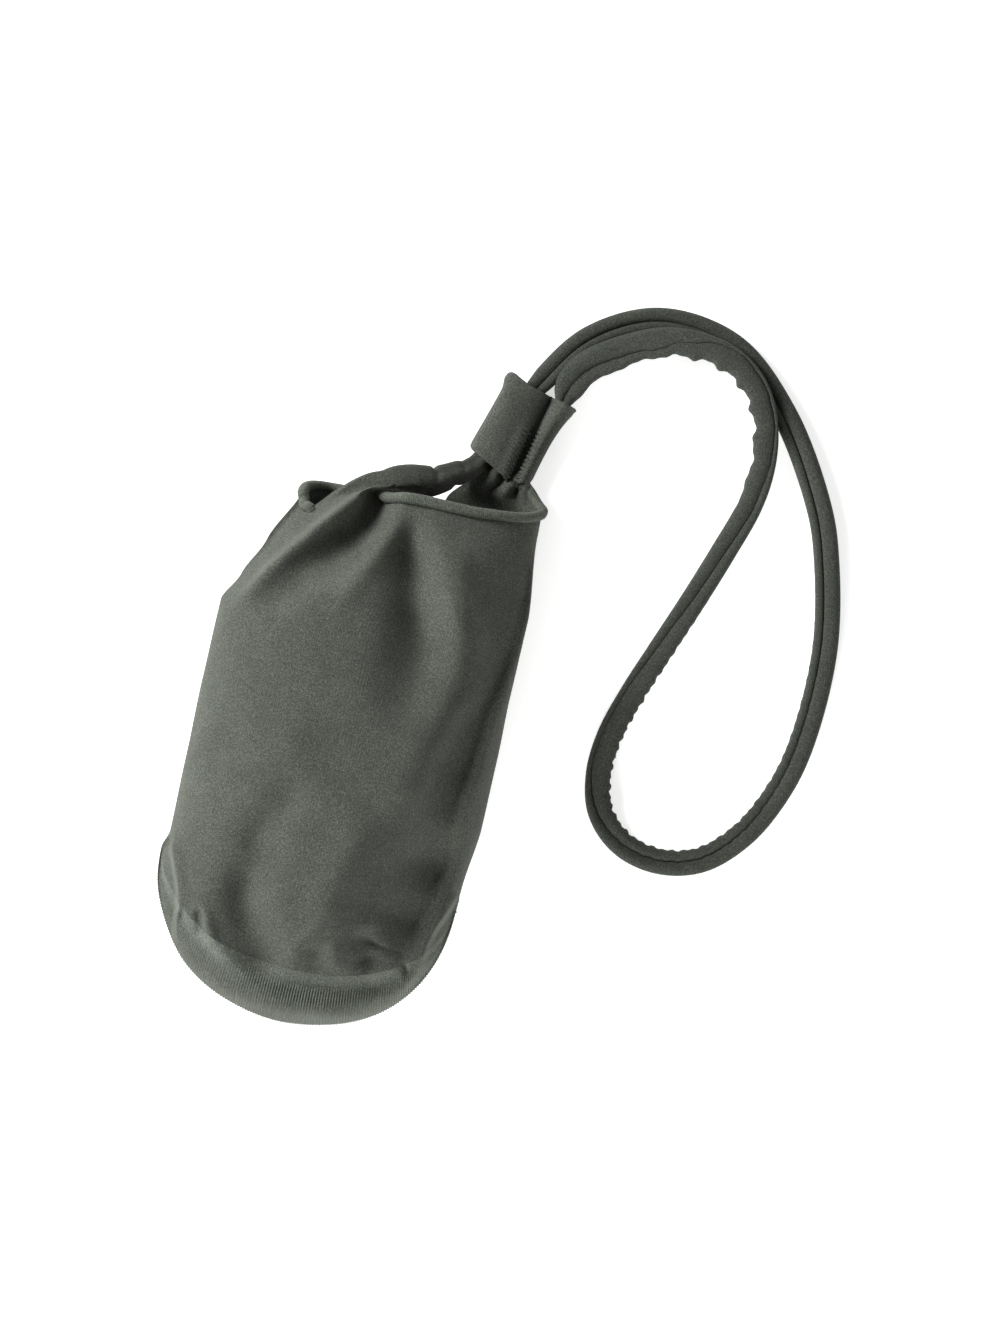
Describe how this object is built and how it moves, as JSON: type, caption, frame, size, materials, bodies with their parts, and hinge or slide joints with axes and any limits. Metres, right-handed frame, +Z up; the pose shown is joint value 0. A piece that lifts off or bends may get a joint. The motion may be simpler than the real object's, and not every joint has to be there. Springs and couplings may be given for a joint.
{
  "type": "drawstring bag",
  "caption": "Soft knitted bucket bag lying flat, with a ribbed round base, a cinched mouth, a looped cord strap and a sliding knitted keeper that draws the mouth shut.",
  "frame": {"origin": "on the underside of the back wall, below the centre of the round base, where the bag rests on the table", "axes": "+Y from the round base to the mouth, +X to the right seen from above with the mouth ahead, +Z up from the table through the front wall"},
  "size_m": [0.4286, 0.5473, 0.116],
  "materials": {
    "body_wall": "matte knit",
    "base_panel": "matte knit",
    "front_strap_root": "matte knit",
    "back_strap_root": "matte knit",
    "left_rim_binding": "matte knit",
    "right_rim_binding": "matte knit",
    "keeper_sleeve": "matte knit",
    "strap_loop": "matte knit"
  },
  "bodies": {
    "bag": {"body_wall": "body_wall", "base_panel": "base_panel", "front_strap_root": "front_strap_root", "back_strap_root": "back_strap_root", "left_rim_binding": "left_rim_binding", "right_rim_binding": "right_rim_binding"},
    "keeper": {"keeper_sleeve": "keeper_sleeve"},
    "strap": {"strap_loop": "strap_loop"}
  },
  "joints": [
    {"name": "keeper_slide", "type": "slide", "parent": "bag", "child": "keeper", "axis": [0.3419, 0.9397, 0], "range_m": [0, 0.016], "deforming": ["strap_loop"]},
    {"name": "strap_swing", "type": "hinge", "parent": "bag", "child": "strap", "pos_m": [0.108, 0.405, 0.009], "axis": [0, 0, 1], "range_deg": [-10, 25], "deforming": ["strap_loop"]}
  ]
}
